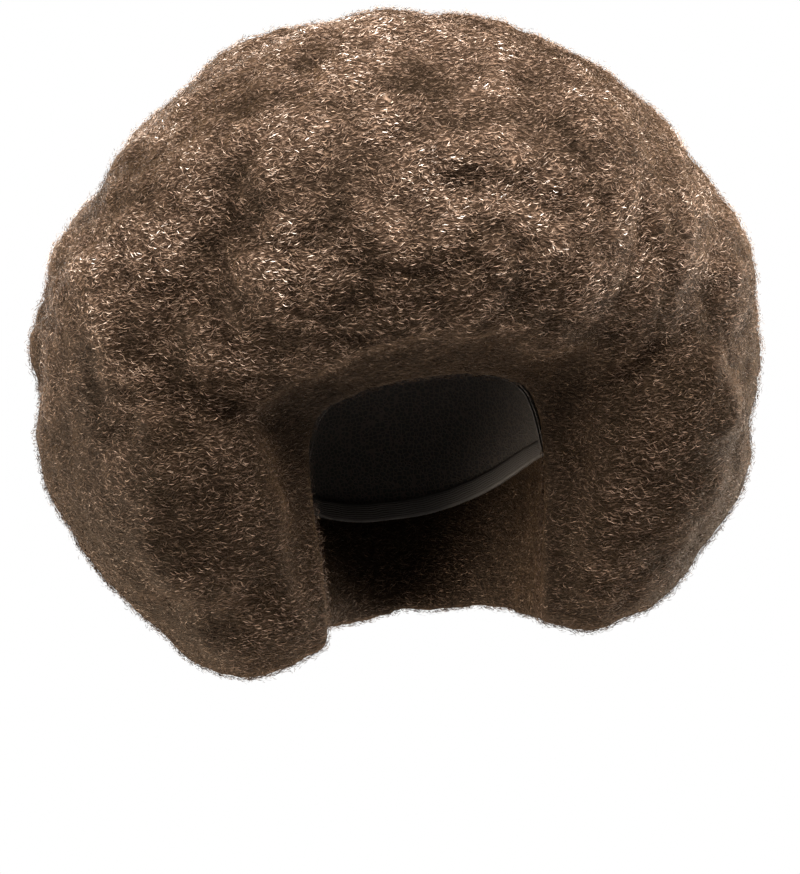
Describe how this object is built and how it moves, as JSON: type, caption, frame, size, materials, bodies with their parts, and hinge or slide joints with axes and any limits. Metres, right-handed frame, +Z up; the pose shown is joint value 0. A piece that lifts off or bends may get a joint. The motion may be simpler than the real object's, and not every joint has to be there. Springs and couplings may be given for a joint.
{
  "type": "afro wig",
  "caption": "Big round afro wig of dark brown frizzy hair on a thin stretch cap with an elastic edge band, open over the face and neck.",
  "frame": {"origin": "The point inside the cap that the crown of the head touches, where the wig sits", "axes": "+Z up, -Y out of the face opening to the front, +X along the width, to the right as seen from the front"},
  "size_m": [0.4353, 0.3802, 0.3745],
  "materials": {
    "frizzy_hair": "crimped synthetic fibre, matt with fine glints",
    "cap_net": "knitted stretch net, matt",
    "elastic": "woven elastic tape, matt"
  },
  "bodies": {
    "root": {"hair": "frizzy_hair", "cap": "cap_net", "edge_band": "elastic"}
  },
  "joints": []
}
